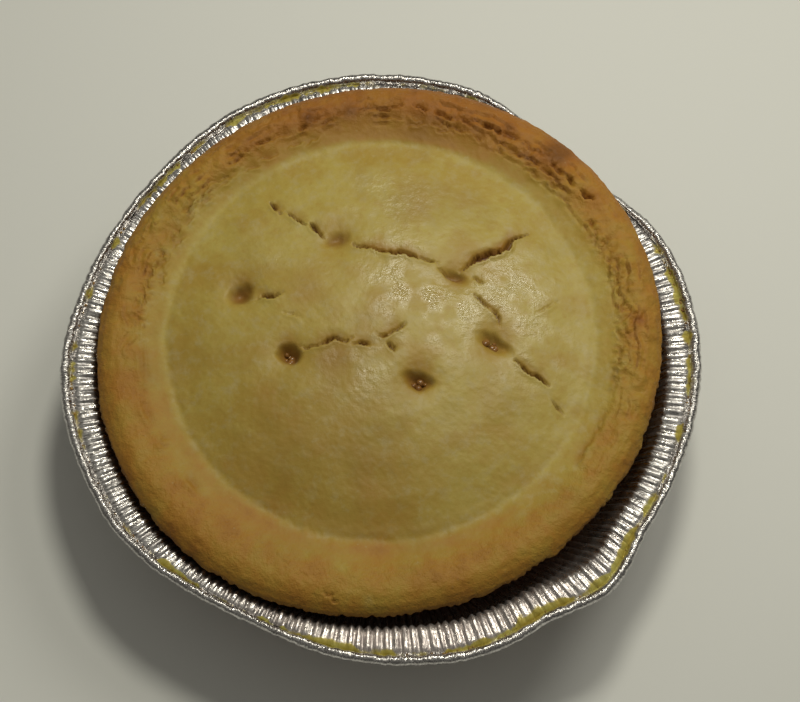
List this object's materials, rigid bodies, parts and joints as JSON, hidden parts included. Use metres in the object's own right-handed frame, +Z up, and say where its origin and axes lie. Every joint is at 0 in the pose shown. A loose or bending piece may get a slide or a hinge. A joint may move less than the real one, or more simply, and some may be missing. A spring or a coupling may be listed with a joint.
{
  "type": "pork pie in a foil dish",
  "caption": "Whole baked pork pie with a pale golden lid, small steam vents and fine cracks, sitting askew in its own crimped foil dish.",
  "frame": {"origin": "middle of the dish's flat underside, where it rests", "axes": "+Z up out of the dish, +Y towards the side that the pie has slid to, +X to the right seen from the near side"},
  "size_m": [0.1294, 0.1295, 0.037],
  "materials": {
    "foil": "thin bright rolled foil, finely pleated, with baked-on residue in the rim channel",
    "crust": "baked shortcrust pastry, pale golden lid and browned flaky rim, slightly glossy where glazed"
  },
  "bodies": {
    "root": {"foil_dish": "foil", "pie": "crust"}
  },
  "joints": []
}
